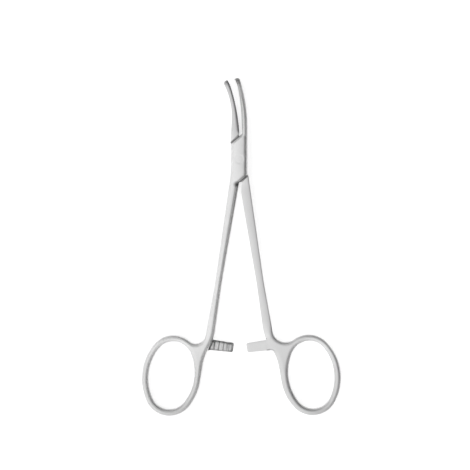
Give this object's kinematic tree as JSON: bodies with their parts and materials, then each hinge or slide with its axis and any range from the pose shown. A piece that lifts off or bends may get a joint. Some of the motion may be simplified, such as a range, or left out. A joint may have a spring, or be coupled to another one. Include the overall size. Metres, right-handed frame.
{
  "type": "hemostat forceps",
  "caption": "Curved box-lock hemostat forceps with serrated jaws, finger rings and a ratchet, a few degrees open.",
  "frame": {"origin": "on the pivot axis, at the back face of the box", "axes": "+Z out of the front face along the pivot axis, +Y from the pivot towards the jaw tips, +X to the side of the tongue half's ring"},
  "size_m": [0.0728, 0.1235, 0.0046],
  "materials": {
    "satin_steel": "satin"
  },
  "bodies": {
    "box_half_body": {"box_half": "satin_steel", "pivot_pin": "satin_steel"},
    "tongue_half_body": {"tongue_half": "satin_steel"}
  },
  "joints": [
    {"name": "box_lock", "type": "hinge", "parent": "box_half_body", "child": "tongue_half_body", "pos_m": [0, 0, 0.0023], "axis": [0, 0, 1], "range_deg": [-5.5, 45]}
  ]
}
